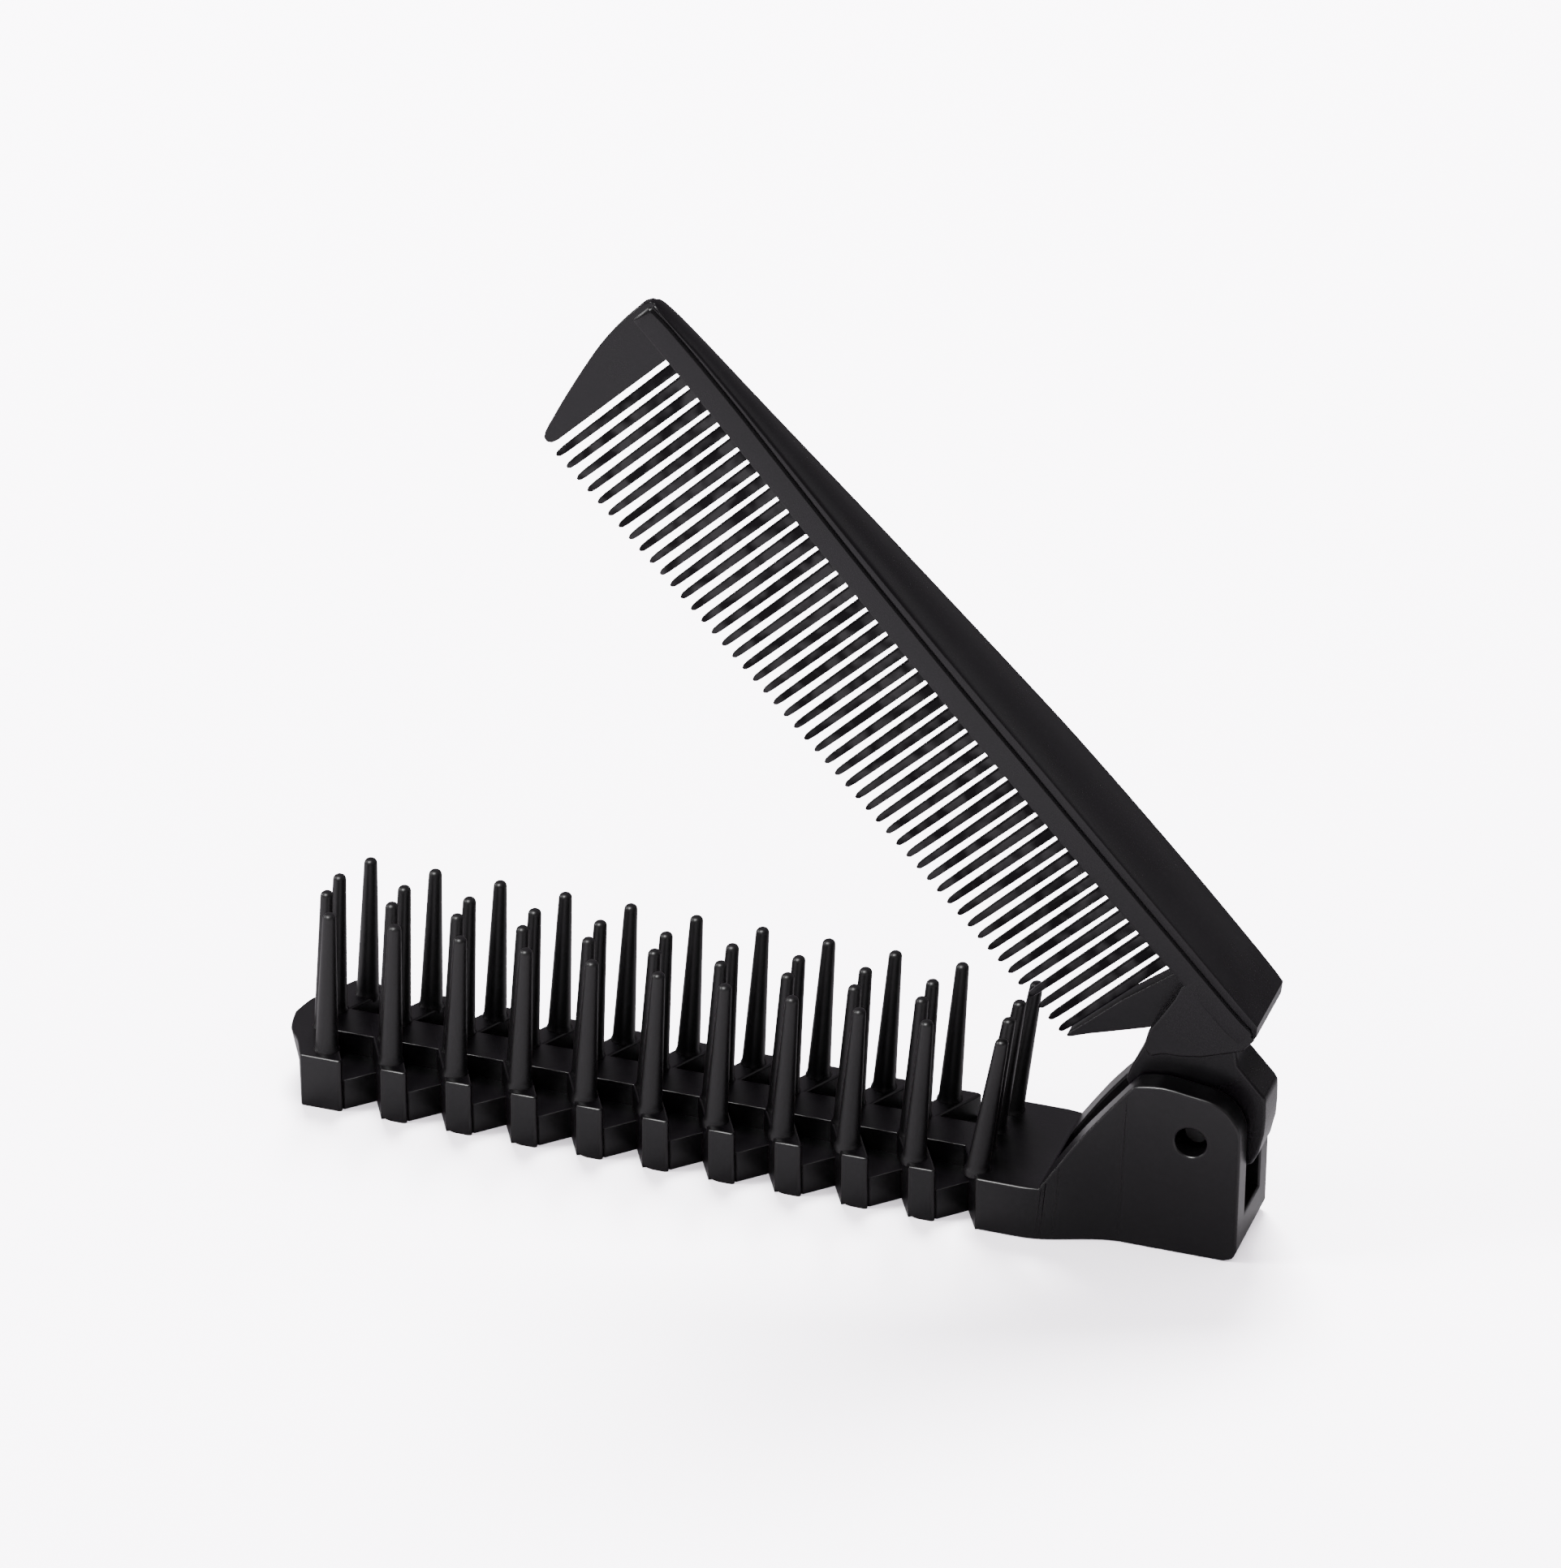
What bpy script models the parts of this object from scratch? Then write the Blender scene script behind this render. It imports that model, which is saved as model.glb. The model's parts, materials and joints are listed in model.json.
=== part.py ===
"""Folding comb: a fine-tooth comb hinged to the base of a vent brush.

The brush base lies along X on the ground, with its nose at -X and its fork at +X. The comb
swings in the fork about Y. It is modelled closed, along -X over the base, and then opened
by turning the object on the hinge, where its origin lies. Lengths are in millimetres here
and become metres as the vertices are made.
"""

import math

import bmesh
import bpy

MM = 0.001

# The hinge
HINGE_X = 52.0
HINGE_Z = 15.1
OPEN_ANGLE = 46.25
PIN_RADIUS = 1.55
BORE_RADIUS = 1.85
PIN_RECESS = 0.9

# The brush base
FIRST_GROUP_X = -52.7
GROUP_PITCH = 8.13
GROUPS = 11
HALF_WIDTH = 9.2
RIB_TOP = 6.9
PLATE_TOP = 4.0
RIB_END_AHEAD = 0.55
RIB_SWEEP = 0.53
RIB_WIDTH_TOP = 2.8
RIB_WIDTH_FOOT = 3.4
SPINE_HALF_WIDTH = 2.5
NOTCH_DEPTH = 3.65
NOTCH_MOUTH = 4.4
NOSE_LEAN = 0.28

# The brush pins
PIN_TIP_Z = 25.4
OUTER_PIN_Y = 6.82
INNER_PIN_Y = 2.07
INNER_PIN_BACK = 2.11
PIN_TIP_RADIUS = 0.8
OUTER_FOOT_RADIUS = 1.1
INNER_FOOT_RADIUS = 1.0
FIRST_PIN_LEAN = 0.65
LAST_PIN_LEAN = 1.2
PIN_SIDES = 12

# The fork
FORK_HALF_WIDTH = 6.35
FORK_GAP_HALF = 3.1
FORK_SWEEP_FROM = 32.7
FORK_SWEEP_TO = 44.3
FORK_END = 57.9
WEB_TOP = 5.0
WEB_FROM = 35.3

# The comb, with u from the hinge along the comb and v from the back to the teeth
BACK_TOP_V = -16.3
LEDGE_V = -12.4
TOOTH_TIP_V = 7.3
TEETH = 50
TOOTH_PITCH = 1.8
FIRST_TOOTH_U = 18.03
TOOTH_ROOT_WIDTH = 0.72
TOOTH_TIP_WIDTH = 0.45
TOOTH_ROOT_THICKNESS = 1.2
TOOTH_TIP_THICKNESS = 0.8
BAND_INSET = 0.4
GROOVE_DEPTH = 0.35
NECK_HALF_WIDTH = 5.2
KNUCKLE_HALF_WIDTH = 2.8
KNUCKLE_RADIUS = 7.0
HINGE_GUARD_HALF_WIDTH = 1.4
FREE_GUARD_HALF_WIDTH = 0.9

PLASTIC = {"colour": (0.022, 0.018, 0.023), "roughness": 0.32, "metallic": 0.0}
PIN_PLASTIC = {"colour": (0.012, 0.011, 0.013), "roughness": 0.38, "metallic": 0.0}


def clear_scene():
    for obj in list(bpy.data.objects):
        bpy.data.objects.remove(obj, do_unlink=True)


def make_material(name, look):
    material = bpy.data.materials.new(name)
    material.use_nodes = True
    shader = material.node_tree.nodes["Principled BSDF"]
    shader.inputs["Base Color"].default_value = (*look["colour"], 1.0)
    shader.inputs["Roughness"].default_value = look["roughness"]
    shader.inputs["Metallic"].default_value = look["metallic"]
    return material


def add_rings(bm, rings):
    """Joins rings of equal length, in order, and closes both ends with a flat face."""
    rows = [[bm.verts.new([c * MM for c in point]) for point in ring] for ring in rings]
    for low, high in zip(rows, rows[1:]):
        for i in range(len(low)):
            j = (i + 1) % len(low)
            bm.faces.new((low[i], low[j], high[j], high[i]))
    bm.faces.new(reversed(rows[0]))
    bm.faces.new(rows[-1])


def make_object(name, bm):
    bmesh.ops.recalc_face_normals(bm, faces=bm.faces)
    mesh = bpy.data.meshes.new(name)
    bm.to_mesh(mesh)
    bm.free()
    obj = bpy.data.objects.new(name, mesh)
    bpy.context.scene.collection.objects.link(obj)
    return obj


def from_rings(name, *solids):
    """One object made of solids, each a list of rings."""
    bm = bmesh.new()
    for rings in solids:
        add_rings(bm, rings)
    return make_object(name, bm)


def boolean(target, tool, operation):
    """Applies the tool to the target and removes it."""
    modifier = target.modifiers.new(tool.name, "BOOLEAN")
    modifier.operation = operation
    modifier.solver = "EXACT"
    modifier.object = tool
    bpy.context.view_layer.update()
    shaped = target.evaluated_get(bpy.context.evaluated_depsgraph_get())
    old = target.data
    target.data = bpy.data.meshes.new_from_object(shaped)
    target.modifiers.clear()
    target.data.name = old.name
    bpy.data.meshes.remove(old)
    bpy.data.objects.remove(tool, do_unlink=True)


def finish(obj, material, sharp_angle=35):
    obj.data.materials.clear()
    obj.data.materials.append(material)
    obj.data.shade_smooth()
    obj.data.set_sharp_from_angle(angle=math.radians(sharp_angle))


def circle(radius, sides, start=0.0):
    return [
        (radius * math.cos(start + 2 * math.pi * i / sides), radius * math.sin(start + 2 * math.pi * i / sides))
        for i in range(sides)
    ]


def bore(name, x, z, half_length, radius=BORE_RADIUS):
    ring = [(x + a, z + b) for a, b in circle(radius, 32)]
    return from_rings(name, [[(a, -half_length, b) for a, b in ring], [(a, half_length, b) for a, b in ring]])


def group_x(group):
    """X of the outer pin tips of a group, counted from 0 at the nose."""
    return FIRST_GROUP_X + GROUP_PITCH * group


def rib_centre(group, y):
    """X of a rib's centre line at y: the arms run outward and towards the fork."""
    return group_x(group) + RIB_END_AHEAD - RIB_SWEEP * (HALF_WIDTH - y)


def mirrored(half):
    """A closed outline from its half with y above zero, listed towards +X."""
    return half + [(x, -y) for x, y in reversed(half)]


def base_plan():
    """Half of the base seen from above: nose, notched long edge and fork."""
    half = [(-60.0, 0.6), (-59.2, 3.5), (-57.4, 5.9), (-56.2, 7.9), (-55.4, 9.0), (-55.1, HALF_WIDTH)]
    for group in range(GROUPS - 1):
        end = rib_centre(group, HALF_WIDTH) + RIB_WIDTH_FOOT / 2 + 0.25
        start = rib_centre(group + 1, HALF_WIDTH) - RIB_WIDTH_FOOT / 2
        apex = start - RIB_SWEEP * NOTCH_DEPTH
        half += [(end, HALF_WIDTH), (apex - 0.12, HALF_WIDTH - NOTCH_DEPTH), (start - 0.12, HALF_WIDTH)]
    steps = 6
    for step in range(steps + 1):
        t = step / steps
        ease = t * t * (3 - 2 * t)
        x = FORK_SWEEP_FROM + (FORK_SWEEP_TO - FORK_SWEEP_FROM) * t
        half.append((x, HALF_WIDTH + (FORK_HALF_WIDTH - HALF_WIDTH) * ease))
    half.append((FORK_END + 2, FORK_HALF_WIDTH))
    return half


def base_side():
    """The base seen from the front: a low bar that rises into the fork's cheeks."""
    diagonal = [(34.8, RIB_TOP), (35.5, 8.0), (38.4, 12.5), (40.6, 15.5), (43.0, 18.6), (44.7, 20.75)]
    top = [(45.6, 21.3), (48.6, 21.7), (51.8, 21.3), (54.1, 20.95), (55.6, 20.3), (56.6, 19.4), (57.5, 18.0)]
    end = [(FORK_END, 16.6), (FORK_END, 1.5), (FORK_END - 0.44, 0.44), (FORK_END - 1.5, 0.0)]
    return [(-64.0, 0.0), (-64.0, RIB_TOP)] + diagonal + top + end


def valley(group, side):
    """The cutter between one rib and the next, on one side: wider at the top than at the plate."""
    rings = []
    for z, width in ((PLATE_TOP, RIB_WIDTH_FOOT), (RIB_TOP, RIB_WIDTH_TOP), (RIB_TOP + 1, RIB_WIDTH_TOP)):
        ring = []
        for y in (SPINE_HALF_WIDTH, HALF_WIDTH + 1):
            ring.append((rib_centre(group, y) + width / 2, side * y, z))
        for y in (HALF_WIDTH + 1, SPINE_HALF_WIDTH):
            ring.append((rib_centre(group + 1, y) - width / 2, side * y, z))
        rings.append(ring)
    return rings


def brush_pin(group, y, foot_radius):
    """A tapered pin with a domed tip, leaning a little towards the fork."""
    share = group / (GROUPS - 2)
    lean = FIRST_PIN_LEAN + (LAST_PIN_LEAN - FIRST_PIN_LEAN) * share
    tip_x = group_x(group)
    tip_z = PIN_TIP_Z
    if group == GROUPS - 1:
        lean = 2.6
        tip_x += 0.8
        tip_z -= 0.7
    if abs(y) < OUTER_PIN_Y:
        tip_x -= INNER_PIN_BACK if group < GROUPS - 1 else 0.6
    rings = []
    for share, radius in ((-0.09, foot_radius), (0.0, foot_radius), (0.955, PIN_TIP_RADIUS), (0.985, 0.62), (1.0, 0.3)):
        x = tip_x - lean * (1 - share)
        z = RIB_TOP + (tip_z - RIB_TOP) * share
        rings.append([(x + a, y + b, z) for a, b in circle(radius, PIN_SIDES)])
    return rings


def make_brush_base(material):
    plan = mirrored(base_plan())
    rings = []
    for z in (-1.0, 24.0):
        rings.append([(x + NOSE_LEAN * (RIB_TOP - z) if x < -55 else x, y, z) for x, y in plan])
    base = from_rings("brush_base", rings)
    side = base_side()
    boolean(base, from_rings("side_form", [[(x, y, z) for x, z in side] for y in (-12.0, 12.0)]), "INTERSECT")
    valleys = [valley(group, side) for group in range(GROUPS - 1) for side in (1, -1)]
    boolean(base, from_rings("valleys", *valleys), "DIFFERENCE")
    gap = [(WEB_FROM, 30.0), (WEB_FROM, RIB_TOP), (WEB_FROM + 1.2, WEB_TOP), (FORK_END + 3, WEB_TOP), (FORK_END + 3, 30.0)]
    fork_gap = [[(x, y, z) for x, z in gap] for y in (-FORK_GAP_HALF, FORK_GAP_HALF)]
    boolean(base, from_rings("fork_gap", fork_gap), "DIFFERENCE")
    boolean(base, bore("fork_bore", HINGE_X, HINGE_Z, 12.0), "DIFFERENCE")
    pins = []
    for group in range(GROUPS):
        for side in (1, -1):
            pins.append(brush_pin(group, side * OUTER_PIN_Y, OUTER_FOOT_RADIUS))
            pins.append(brush_pin(group, side * INNER_PIN_Y, INNER_FOOT_RADIUS))
    boolean(base, from_rings("pins", *pins), "UNION")
    finish(base, material)
    return base


def make_hinge_pin(material):
    half = FORK_HALF_WIDTH - PIN_RECESS
    rings = []
    for y, radius in ((-half, 1.3), (0.25 - half, PIN_RADIUS), (half - 0.25, PIN_RADIUS), (half, 1.3)):
        rings.append([(a, y, b) for a, b in circle(radius, 32)])
    pin = from_rings("hinge_pin", rings)
    pin.location = (HINGE_X * MM, 0.0, HINGE_Z * MM)
    finish(pin, material)
    return pin


def extruded(outline, half_width):
    """Rings across Y of an outline in u and v."""
    return [[(-u, y, -v) for u, v in outline] for y in (-half_width, half_width)]


def back_section(u, half_width):
    """One section of the back: crowned top, lip, undercut groove and band, down to the ledge."""
    band = max(half_width - BAND_INSET, 0.75)
    groove = max(band - GROOVE_DEPTH, 0.65)
    lip = BACK_TOP_V + 0.2
    half = [
        (half_width * 0.55, BACK_TOP_V - 0.12),
        (half_width - 0.15, BACK_TOP_V),
        (half_width, lip),
        (groove, lip + 0.15),
        (groove, lip + 0.85),
        (band, lip + 1.0),
        (band, LEDGE_V),
    ]
    ring = half + [(-y, v) for y, v in reversed(half)]
    return [(-u, y, -v) for y, v in ring]


def back_rings():
    """The back's leaf plan, a row for each section: distance from the hinge and half width."""
    sections = (
        (6.6, 5.0),
        (8.0, 5.35),
        (20.0, 5.65),
        (32.0, 5.6),
        (42.0, 5.4),
        (52.0, 5.05),
        (62.0, 4.6),
        (77.0, 3.7),
        (92.0, 2.5),
        (98.0, 2.0),
        (106.0, 1.45),
        (110.0, 1.2),
        (113.2, 1.0),
    )
    return [back_section(u, half_width) for u, half_width in sections]


def tooth(index):
    """A fine tooth with bevelled edges, from inside the band to its blunt point."""
    centre = FIRST_TOOTH_U + TOOTH_PITCH * index
    rows = (
        (LEDGE_V - 1.0, TOOTH_ROOT_WIDTH, TOOTH_ROOT_THICKNESS),
        (LEDGE_V, TOOTH_ROOT_WIDTH, TOOTH_ROOT_THICKNESS),
        (TOOTH_TIP_V - 1.2, TOOTH_TIP_WIDTH, TOOTH_TIP_THICKNESS),
        (TOOTH_TIP_V, TOOTH_TIP_WIDTH * 0.35, TOOTH_TIP_THICKNESS * 0.35),
    )
    rings = []
    for v, width, thickness in rows:
        a = width / 2
        b = thickness / 2
        shape = [(a, b / 2), (a / 2, b), (-a / 2, b), (-a, b / 2), (-a, -b / 2), (-a / 2, -b), (a / 2, -b), (a, -b / 2)]
        rings.append([(-centre - du, y, -v) for du, y in shape])
    return rings


def knuckle_outline():
    """The arm from the neck to the eye that turns on the pin."""
    arm = [(9.0, -13.0), (13.0, -9.0), (12.3, -2.9), (10.6, 1.2), (9.7, 3.0)]
    eye = []
    for degrees in range(50, 200, 12):
        angle = math.radians(degrees)
        eye.append((KNUCKLE_RADIUS * math.cos(angle), KNUCKLE_RADIUS * math.sin(angle)))
    heel = [(-6.3, -3.5), (-5.4, -5.3), (-2.8, -8.1), (-2.3, -8.6), (3.6, -9.1), (6.8, -11.5)]
    return arm + eye + heel


def make_comb(material):
    neck = [
        (15.6, -12.0),
        (14.9, -10.4),
        (14.2, -7.9),
        (13.5, -5.0),
        (12.2, -2.9),
        (10.8, -2.9),
        (10.2, -4.4),
        (8.8, -5.9),
        (7.4, -7.9),
        (6.2, -10.4),
        (5.3, -12.4),
        (5.4, -14.5),
        (6.9, -15.9),
        (15.6, -15.9),
    ]
    hinge_guard = [
        (16.7, -13.4),
        (16.7, -12.4),
        (17.6, 5.6),
        (17.3, 6.3),
        (16.9, 5.6),
        (16.0, 3.7),
        (14.8, 1.3),
        (13.8, -0.75),
        (12.9, -2.6),
        (11.6, -6.0),
        (11.6, -13.4),
    ]
    free_guard = [
        (107.8, -13.4),
        (107.8, 5.6),
        (108.2, 6.4),
        (108.8, 6.3),
        (109.5, 5.1),
        (111.0, 1.1),
        (112.3, -2.9),
        (113.4, -6.9),
        (114.0, -10.9),
        (114.2, -14.8),
        (113.6, -16.1),
        (110.5, -16.1),
        (110.0, -13.4),
    ]
    comb = from_rings("comb", back_rings())
    boolean(comb, from_rings("neck", extruded(neck, NECK_HALF_WIDTH)), "UNION")
    boolean(comb, from_rings("knuckle", extruded(knuckle_outline(), KNUCKLE_HALF_WIDTH)), "UNION")
    boolean(comb, from_rings("hinge_guard", extruded(hinge_guard, HINGE_GUARD_HALF_WIDTH)), "UNION")
    boolean(comb, from_rings("free_guard", extruded(free_guard, FREE_GUARD_HALF_WIDTH)), "UNION")
    boolean(comb, from_rings("teeth", *[tooth(index) for index in range(TEETH)]), "UNION")
    boolean(comb, bore("eye_bore", 0.0, 0.0, 8.0), "DIFFERENCE")
    comb.location = (HINGE_X * MM, 0.0, HINGE_Z * MM)
    comb.rotation_euler = (0.0, math.radians(OPEN_ANGLE), 0.0)
    finish(comb, material)
    return comb


def main():
    clear_scene()
    make_brush_base(make_material("base_plastic", PLASTIC))
    make_hinge_pin(make_material("pin_plastic", PIN_PLASTIC))
    make_comb(make_material("comb_plastic", PLASTIC))


main()
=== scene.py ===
"""Folding comb, dressed: the moulded look of the comb, its brush base and its hinge pin.

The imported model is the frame, and gives the hinge. Each moulding is modelled again here with
its fillets, crowned back, groove, tapered teeth and domed pins, and stands for the node of the
same place. Sizes are in millimetres and become metres as the points are placed.
"""

from __future__ import annotations

import json
import logging
import math
from collections.abc import Callable, Iterable, Sequence
from dataclasses import dataclass
from enum import Enum
from typing import NamedTuple

import bmesh
import bpy
from mathutils import Matrix, Vector

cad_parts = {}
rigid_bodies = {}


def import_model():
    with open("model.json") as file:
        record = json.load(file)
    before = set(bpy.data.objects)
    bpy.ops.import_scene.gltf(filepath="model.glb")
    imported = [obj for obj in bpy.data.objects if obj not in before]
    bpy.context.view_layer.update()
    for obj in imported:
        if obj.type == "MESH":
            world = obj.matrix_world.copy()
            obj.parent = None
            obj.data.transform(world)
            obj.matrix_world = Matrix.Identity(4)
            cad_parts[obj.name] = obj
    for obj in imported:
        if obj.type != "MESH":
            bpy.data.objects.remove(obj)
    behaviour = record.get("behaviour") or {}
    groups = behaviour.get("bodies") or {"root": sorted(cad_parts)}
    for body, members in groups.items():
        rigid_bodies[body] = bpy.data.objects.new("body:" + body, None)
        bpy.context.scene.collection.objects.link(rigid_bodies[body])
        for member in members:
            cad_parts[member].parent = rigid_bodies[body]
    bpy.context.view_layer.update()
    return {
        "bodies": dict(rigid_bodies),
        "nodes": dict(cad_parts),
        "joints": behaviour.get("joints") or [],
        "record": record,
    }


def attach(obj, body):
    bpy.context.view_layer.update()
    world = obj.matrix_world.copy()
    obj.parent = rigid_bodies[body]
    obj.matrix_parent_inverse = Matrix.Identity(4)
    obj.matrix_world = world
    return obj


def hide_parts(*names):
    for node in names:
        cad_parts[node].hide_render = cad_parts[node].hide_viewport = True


LOG = logging.getLogger("folding_comb")

MM = 0.001

# Millimetres within which two places count as the same
NEAR = 0.05

# The sides of the hinge's round holes and of its pin
ROUND_SIDES = 48

# A slanting direction to sort places along, so that mirrored ones aren't level
SLANT = Vector((1.0, 0.618, 0.414))

Point = tuple[float, float, float]
Flat = tuple[float, float]


class Across(Enum):
    """The axis that an outline is extruded along."""

    Y = "Y"
    Z = "Z"


class Cut(Enum):
    """What a cutter leaves of a body."""

    OUTSIDE = "DIFFERENCE"
    INSIDE = "INTERSECT"


class SeenBy(Enum):
    """The surfaces that a light shows on."""

    GLOSS = "gloss"
    MATT = "matt"


# Working by hand


def work_on(obj: bpy.types.Object) -> None:
    """Deselects all and makes one object selected and active.

    Args:
        obj: The object to work on.
    """
    bpy.ops.object.select_all(action="DESELECT")
    obj.select_set(True)
    bpy.context.view_layer.objects.active = obj


def apply_modifier(obj: bpy.types.Object, kind: str, **settings: object) -> None:
    """Adds one modifier, sets it and applies it.

    Args:
        obj: The object that gets it.
        kind: The modifier's type.
        **settings: Its properties by name.
    """
    work_on(obj)
    bpy.ops.object.modifier_add(type=kind)
    modifier = obj.modifiers[-1]
    for name, value in settings.items():
        setattr(modifier, name, value)
    bpy.ops.object.modifier_apply(modifier=modifier.name)


def turn_outwards(obj: bpy.types.Object) -> None:
    """Makes a closed body's faces point outwards.

    Args:
        obj: The body.
    """
    work_on(obj)
    bpy.ops.object.mode_set(mode="EDIT")
    bpy.ops.mesh.select_all(action="SELECT")
    bpy.ops.mesh.normals_make_consistent(inside=False)
    if bmesh.from_edit_mesh(obj.data).calc_volume(signed=True) < 0:
        bpy.ops.mesh.flip_normals()
    bpy.ops.object.mode_set(mode="OBJECT")


def loft(name: str, rings: Sequence[Sequence[Point]]) -> bpy.types.Object:
    """Models a closed body by extruding a filled ring from section to section.

    Args:
        name: The object's name.
        rings: Sections with the same number of points, in millimetres.

    Returns:
        The new object, at the origin, with its faces outwards.
    """
    sections = [[Vector(point) * MM for point in ring] for ring in rings]
    bpy.ops.object.select_all(action="DESELECT")
    bpy.ops.mesh.primitive_circle_add(vertices=len(rings[0]), radius=MM, fill_type="NGON")
    obj = bpy.context.object
    obj.name = name
    obj.data.name = name
    for vert, point in zip(obj.data.vertices, sections[0]):
        vert.co = point
    bpy.ops.object.mode_set(mode="EDIT")
    for before, after in zip(sections, sections[1:]):
        bpy.ops.mesh.extrude_region_move()
        mesh = bmesh.from_edit_mesh(obj.data)
        for vert in [vert for vert in mesh.verts if vert.select]:
            gaps = [(point - vert.co).length_squared for point in before]
            vert.co = after[gaps.index(min(gaps))]
        bmesh.update_edit_mesh(obj.data)
    bpy.ops.object.mode_set(mode="OBJECT")
    turn_outwards(obj)
    return obj


def prism(name: str, outline: Sequence[Flat], across: Across, low: float, high: float) -> bpy.types.Object:
    """Models a straight body from an outline.

    Args:
        name: The object's name.
        outline: The outline's points: X and Z across Y, or X and Y across Z.
        across: The axis it is extruded along.
        low: Where it starts on that axis.
        high: Where it ends.

    Returns:
        The new object.
    """
    if across is Across.Y:
        rings = [[(a, level, b) for a, b in outline] for level in (low, high)]
    else:
        rings = [[(a, b, level) for a, b in outline] for level in (low, high)]
    return loft(name, rings)


def rod(name: str, centre: Flat, radius: float, half_length: float) -> bpy.types.Object:
    """Models a round rod across Y, from one side of the middle to the other.

    Args:
        name: The object's name.
        centre: X and Z of its axis.
        radius: Its radius.
        half_length: Half its length.

    Returns:
        The rod.
    """
    ring = [(centre[0] + a, centre[1] + b) for a, b in circle(radius, ROUND_SIDES)]
    return prism(name, ring, Across.Y, -half_length, half_length)


def put_in_order(obj: bpy.types.Object) -> None:
    """Sorts a body's points, edges and faces by place, so that each run goes on alike after a cut.

    Args:
        obj: The body.
    """
    work_on(obj)
    bpy.ops.object.mode_set(mode="EDIT")
    mesh = bmesh.from_edit_mesh(obj.data)
    mesh.verts.sort(key=lambda vert: vert.co.dot(SLANT))
    mesh.edges.sort(key=lambda edge: (edge.verts[0].co + edge.verts[1].co).dot(SLANT))
    mesh.faces.sort(key=lambda face: face.calc_center_median().dot(SLANT))
    bmesh.update_edit_mesh(obj.data)
    bpy.ops.object.mode_set(mode="OBJECT")


def cut(target: bpy.types.Object, cutter: bpy.types.Object, keep: Cut) -> None:
    """Cuts a body with another, which is used up.

    Args:
        target: The body that is cut.
        cutter: The body that cuts it.
        keep: Whether what lies outside or inside the cutter stays.
    """
    apply_modifier(target, "BOOLEAN", operation=keep.value, solver="EXACT", object=cutter)
    bpy.data.objects.remove(cutter, do_unlink=True)
    put_in_order(target)


def join(parts: Sequence[bpy.types.Object], name: str) -> bpy.types.Object:
    """Joins bodies into one object, as separate shells.

    Args:
        parts: The bodies.
        name: The joined object's name.

    Returns:
        The joined object.
    """
    joined = parts[0]
    work_on(joined)
    for part in parts[1:]:
        part.select_set(True)
    bpy.ops.object.join()
    joined.name = name
    joined.data.name = name
    return joined


def copy_of(obj: bpy.types.Object, name: str, move: Matrix) -> bpy.types.Object:
    """Copies an object with a mesh of its own and places the copy in its mesh.

    Args:
        obj: The object to copy.
        name: The copy's name.
        move: The transform of its vertices.

    Returns:
        The copy.
    """
    work_on(obj)
    bpy.ops.object.duplicate(linked=False)
    twin = bpy.context.object
    twin.name = name
    twin.data.transform(move)
    return twin


def clean(obj: bpy.types.Object, merge: float = 0.02, flat_angle: float = 0.05) -> None:
    """Merges doubles, dissolves what lies flat and turns the faces outwards.

    Args:
        obj: The object.
        merge: The merging distance in millimetres.
        flat_angle: The angle in degrees under which faces count as one flat.
    """
    work_on(obj)
    bpy.ops.object.mode_set(mode="EDIT")
    bpy.ops.mesh.select_all(action="SELECT")
    bpy.ops.mesh.remove_doubles(threshold=merge * MM)
    bpy.ops.mesh.dissolve_limited(angle_limit=math.radians(flat_angle))
    bpy.ops.object.mode_set(mode="OBJECT")
    turn_outwards(obj)


def round_edges(
    obj: bpy.types.Object,
    radius: float,
    wanted: Callable[[Vector, Vector], bool] | None = None,
    segments: int = 3,
    least_angle: float = 30.0,
    clamp: bool = False,
) -> None:
    """Puts a fillet on an object's outer edges.

    Args:
        obj: The object.
        radius: The fillet's width in millimetres.
        wanted: Says from an edge's ends, in millimetres, whether it gets one. All do by default.
        segments: The fillet's steps.
        least_angle: The least angle between an edge's faces, in degrees.
        clamp: Whether the width gives way where edges are short.
    """
    work_on(obj)
    bpy.ops.object.mode_set(mode="EDIT")
    bpy.ops.mesh.select_mode(type="EDGE")
    bpy.ops.mesh.select_all(action="DESELECT")
    mesh = bmesh.from_edit_mesh(obj.data)
    for edge in mesh.edges:
        if len(edge.link_faces) != 2 or edge.calc_length() < NEAR * MM:
            continue
        if edge.calc_face_angle_signed(0.0) < math.radians(least_angle):
            continue
        if wanted is None or wanted(edge.verts[0].co / MM, edge.verts[1].co / MM):
            edge.select_set(True)
    bmesh.update_edit_mesh(obj.data)
    bpy.ops.mesh.bevel(
        offset=radius * MM, segments=segments, profile=0.5, affect="EDGES", clamp_overlap=clamp
    )
    bpy.ops.object.mode_set(mode="OBJECT")


def put_finish(
    piece: bpy.types.Object, finish: bpy.types.Material, sharp_angle: float = 40.0, weighted: bool = True
) -> None:
    """Shades a piece smooth up to an angle and gives it its finish.

    Args:
        piece: The piece.
        finish: Its material.
        sharp_angle: The angle in degrees above which an edge stays sharp.
        weighted: Whether large faces keep their own normals, so that flats look flat.
    """
    work_on(piece)
    bpy.ops.object.shade_smooth_by_angle(angle=math.radians(sharp_angle))
    if weighted:
        apply_modifier(piece, "WEIGHTED_NORMAL", keep_sharp=True, weight=80)
    piece.data.materials.clear()
    piece.data.materials.append(finish)


# Outlines


def circle(radius: float, sides: int) -> list[Flat]:
    """Points of a circle round the origin.

    Args:
        radius: Its radius.
        sides: The number of points.

    Returns:
        The points, anticlockwise.
    """
    turns = [2 * math.pi * side / sides for side in range(sides)]
    return [(radius * math.cos(turn), radius * math.sin(turn)) for turn in turns]


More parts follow.
